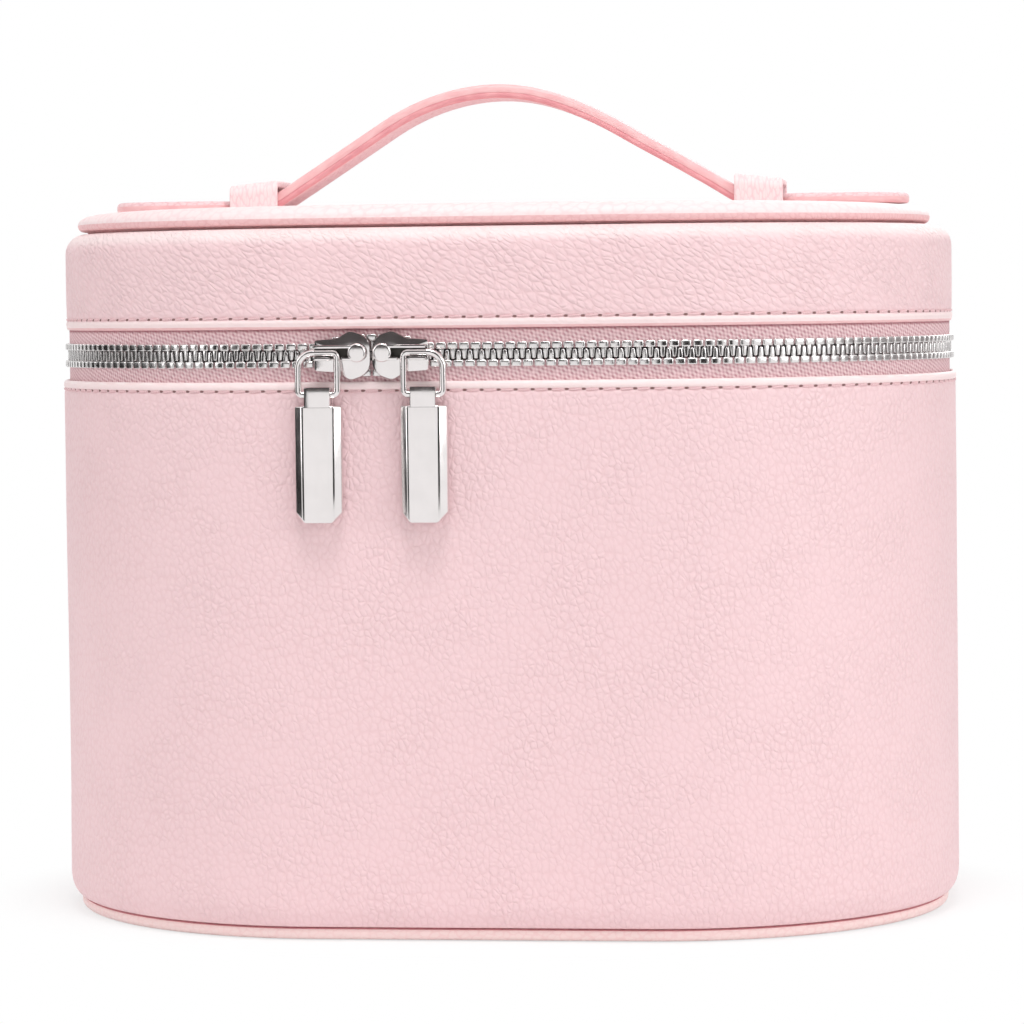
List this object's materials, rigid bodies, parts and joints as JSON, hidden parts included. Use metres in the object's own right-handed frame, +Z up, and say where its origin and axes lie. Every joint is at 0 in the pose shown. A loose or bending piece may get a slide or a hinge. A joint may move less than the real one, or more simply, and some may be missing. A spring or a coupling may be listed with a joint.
{
  "type": "makeup train case",
  "caption": "Oval zip-round makeup train case with a hinged lid, sliding strap handle, paired zip sliders with bar pulls and a mirror in the lid.",
  "frame": {"origin": "middle of the flat underside, on the plane the case stands on", "axes": "+X to the right along the width as seen from the front, +Y to the back where the lid is hinged, +Z up"},
  "size_m": [0.21, 0.1556, 0.1923],
  "materials": {
    "leather": "pebbled, satin",
    "strap_leather": "pebbled, painted edges",
    "board": "raw greyboard",
    "lining": "woven",
    "foam": "open-cell foam",
    "tape": "twill zip tape",
    "metal": "polished nickel plate",
    "mirror": "silvered glass"
  },
  "bodies": {
    "case_body": {"body_cover": "leather", "body_board": "board", "body_lining": "lining", "base_cover": "leather", "base_board": "board", "base_lining": "lining", "zip_tape_lower": "tape", "zip_teeth_lower": "metal", "zip_stops_lower": "metal", "hinge_panel": "leather", "hinge_gusset": "lining"},
    "lid": {"lid_cover": "leather", "lid_wall_board": "board", "lid_wall_lining": "lining", "lid_top_panel": "leather", "lid_top_foam": "foam", "lid_top_board": "board", "lid_top_lining": "lining", "lid_mirror": "mirror", "mirror_frame": "leather", "zip_tape_upper": "tape", "zip_teeth_upper": "metal", "zip_stops_upper": "metal", "keeper_left": "leather", "keeper_right": "leather"},
    "slider_left": {"zip_slider_left": "metal"},
    "slider_right": {"zip_slider_right": "metal"},
    "bail_left": {"pull_bail_left": "metal"},
    "bail_right": {"pull_bail_right": "metal"},
    "pull_left": {"pull_tab_left": "metal"},
    "pull_right": {"pull_tab_right": "metal"},
    "handle_crown": {"handle_strap": "strap_leather"},
    "handle_end_left": {"handle_tab_left": "strap_leather"},
    "handle_end_right": {"handle_tab_right": "strap_leather"}
  },
  "joints": [
    {"name": "lid_hinge", "type": "hinge", "parent": "case_body", "child": "lid", "pos_m": [0, 0.0757, 0.1296], "axis": [-1, 0, 0], "range_deg": [0, 105], "deforming": ["hinge_panel", "hinge_gusset"]},
    {"name": "slider_left_slide", "type": "slide", "parent": "case_body", "child": "slider_left", "axis": [-1, 0, 0], "range_m": [0, 0.008], "deforming": ["zip_teeth_lower"]},
    {"name": "slider_right_slide", "type": "slide", "parent": "case_body", "child": "slider_right", "axis": [1, 0, 0], "range_m": [0, 0.044], "deforming": ["zip_teeth_upper"]},
    {"name": "bail_left_swing", "type": "hinge", "parent": "slider_left", "child": "bail_left", "pos_m": [-0.034, -0.0775, 0.1302], "axis": [-1, 0, 0], "range_deg": [0, 95]},
    {"name": "bail_right_swing", "type": "hinge", "parent": "slider_right", "child": "bail_right", "pos_m": [-0.0106, -0.0775, 0.1302], "axis": [-1, 0, 0], "range_deg": [0, 95]},
    {"name": "pull_left_swing", "type": "hinge", "parent": "bail_left", "child": "pull_left", "pos_m": [-0.034, -0.0775, 0.121], "axis": [-1, 0, 0], "range_deg": [0, 80]},
    {"name": "pull_right_swing", "type": "hinge", "parent": "bail_right", "child": "pull_right", "pos_m": [-0.0106, -0.0775, 0.121], "axis": [-1, 0, 0], "range_deg": [0, 80]},
    {"name": "handle_lift", "type": "slide", "parent": "lid", "child": "handle_crown", "axis": [0, 0, 1], "range_m": [-0.022, 0.003], "deforming": ["handle_strap"]},
    {"name": "handle_end_left_slide", "type": "slide", "parent": "handle_crown", "child": "handle_end_left", "axis": [-0.28, 0, 0.96], "range_m": [-0.0032, 0.023]},
    {"name": "handle_end_right_slide", "type": "slide", "parent": "handle_crown", "child": "handle_end_right", "axis": [0.28, 0, 0.96], "range_m": [-0.0032, 0.023]}
  ],
  "couplings": [
    {"joint": "handle_end_left_slide", "follows": "handle_lift", "ratio": -1.0417},
    {"joint": "handle_end_right_slide", "follows": "handle_lift", "ratio": -1.0417}
  ]
}
